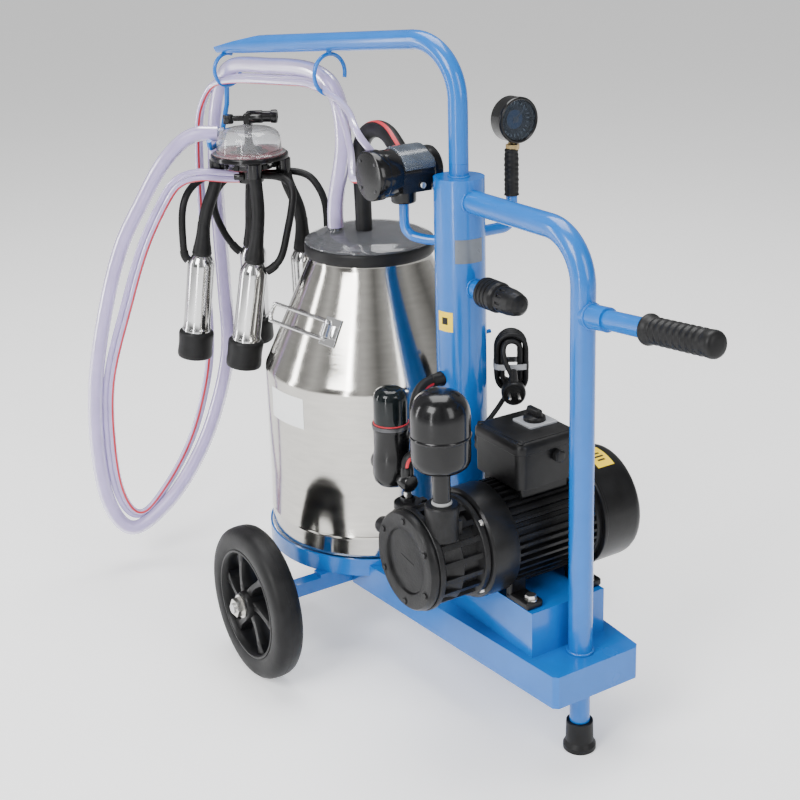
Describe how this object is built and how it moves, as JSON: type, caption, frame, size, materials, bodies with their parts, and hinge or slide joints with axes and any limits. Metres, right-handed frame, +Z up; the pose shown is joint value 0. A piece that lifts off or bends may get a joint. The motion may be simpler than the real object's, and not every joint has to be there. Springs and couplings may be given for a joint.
{
  "type": "milking machine",
  "caption": "Mobile bucket milking machine: two-wheel trolley, rotary vacuum pump set, stainless bucket, pulsator, hose arm, milking claw and teat cups.",
  "frame": {"origin": "on the ground, below the middle of the trolley's box (hoses and mains lead left out)", "axes": "+Z up, +X towards the pull handle and the front leg, +Y towards the motor's fan end, across the wheels"},
  "size_m": [1.1092, 0.632, 0.9233],
  "materials": {
    "blue": "gloss",
    "black_metal": "gloss",
    "casting": "satin",
    "steel": "satin",
    "stainless": "polished",
    "zinc": "zinc plated",
    "rubber": "matt",
    "tyre": "matt",
    "black_plastic": "satin",
    "gloss_plastic": "gloss",
    "clear_hose": "clear PVC",
    "clear": "clear moulded plastic",
    "smoke": "smoky moulded plastic",
    "brass": "plain"
  },
  "bodies": {
    "cart": {"platform": "blue", "axle_beam": "blue", "bucket_hoop": "blue", "column_tank": "blue", "upright_frame": "blue", "motor_plinth": "blue", "foot_cap": "rubber", "axle_shaft": "steel", "axle_nuts": "zinc", "branch_pipes": "blue", "pulsator_body": "black_plastic", "pulsator_cover": "clear", "gauge_case": "black_plastic", "gauge_lens": "clear", "gauge_sleeve": "rubber", "regulator_body": "black_plastic", "pump_housing": "casting", "pump_cover": "casting", "exhaust_muffler": "black_metal", "oiler_body": "black_metal", "oiler_bowl": "clear", "suction_pipe": "steel", "suction_hose": "rubber", "motor_body": "black_metal", "fan_cover": "casting", "terminal_box": "black_plastic", "box_lid": "black_plastic", "motor_bolts": "zinc", "cable_gland": "black_plastic", "vacuum_hose": "rubber", "power_cord": "rubber", "cord_hank": "rubber", "plug": "rubber"},
    "near_wheel": {"near_tyre": "tyre", "near_rim": "black_plastic"},
    "far_wheel": {"far_tyre": "tyre", "far_rim": "black_plastic"},
    "rotor": {"motor_rotor": "steel", "fan": "black_plastic", "pump_rotor": "steel"},
    "switch_knob": {"switch_knob": "black_plastic"},
    "pull_handle": {"handle_tube": "blue", "handle_grip": "rubber"},
    "hose_arm": {"arm_tube": "blue", "hose_rings": "blue", "milk_hose": "clear_hose", "pulse_hose": "clear_hose"},
    "bucket": {"bucket": "stainless"},
    "bucket_bail": {"bucket_handle": "stainless"},
    "lid": {"lid": "smoke", "lid_gasket": "rubber"},
    "claw": {"claw_bowl": "gloss_plastic", "claw_dome": "clear", "cup_liners": "rubber", "cup_shells": "stainless", "pulse_tubes": "rubber"},
    "claw_valve": {"claw_valve": "gloss_plastic"},
    "gauge_needle": {"gauge_needle": "brass"},
    "regulator_cap": {"regulator_cap": "black_plastic"},
    "pulsator_screw": {"pulsator_screw": "zinc"}
  },
  "joints": [
    {"name": "near_wheel_spin", "type": "hinge", "parent": "cart", "child": "near_wheel", "pos_m": [-0.13039, -0.259, 0.112], "axis": [0, 1, 0], "continuous": true},
    {"name": "far_wheel_spin", "type": "hinge", "parent": "cart", "child": "far_wheel", "pos_m": [-0.13039, 0.259, 0.112], "axis": [0, 1, 0], "continuous": true},
    {"name": "motor_spin", "type": "hinge", "parent": "cart", "child": "rotor", "pos_m": [0.17261, 0, 0.281], "axis": [0, 1, 0], "continuous": true},
    {"name": "switch_turn", "type": "hinge", "parent": "cart", "child": "switch_knob", "pos_m": [0.16461, 0.022, 0.425], "axis": [0, 0, 1], "range_deg": [0, 90]},
    {"name": "handle_slide", "type": "slide", "parent": "cart", "child": "pull_handle", "axis": [0.9956, 0, 0.0941], "range_m": [0, 0.02]},
    {"name": "arm_swivel", "type": "hinge", "parent": "cart", "child": "hose_arm", "pos_m": [0.02761, 0, 0.78], "axis": [0, 0, 1], "range_deg": [-12, 8], "deforming": ["milk_hose", "pulse_hose"]},
    {"name": "claw_lift", "type": "slide", "parent": "hose_arm", "child": "claw", "axis": [0, 0, 1], "range_m": [0, 0.0015], "deforming": ["milk_hose", "pulse_hose"]},
    {"name": "claw_valve_push", "type": "slide", "parent": "claw", "child": "claw_valve", "axis": [0, 0, 1], "range_m": [0, 0.006]},
    {"name": "bucket_lift", "type": "slide", "parent": "cart", "child": "bucket", "axis": [0, 0, 1], "range_m": [0, 0.03], "deforming": ["milk_hose", "vacuum_hose"]},
    {"name": "lid_lift", "type": "slide", "parent": "bucket", "child": "lid", "axis": [0, 0, 1], "range_m": [0, 0.03], "deforming": ["milk_hose", "vacuum_hose"]},
    {"name": "bail_swing", "type": "hinge", "parent": "bucket", "child": "bucket_bail", "pos_m": [-0.14793, -0.11822, 0.49342], "axis": [-0.0534, 0.4248, 0.9037], "range_deg": [0, 100]},
    {"name": "gauge_needle_turn", "type": "hinge", "parent": "cart", "child": "gauge_needle", "pos_m": [0.02761, 0.092, 0.8], "axis": [1, 0, 0], "range_deg": [0, 270]},
    {"name": "regulator_turn", "type": "hinge", "parent": "cart", "child": "regulator_cap", "pos_m": [0.12761, 0, 0.584], "axis": [1, 0, 0], "range_deg": [-180, 180]},
    {"name": "pulse_rate_turn", "type": "hinge", "parent": "cart", "child": "pulsator_screw", "pos_m": [-0.00639, -0.036, 0.72], "axis": [1, 0, 0], "range_deg": [0, 180]}
  ]
}
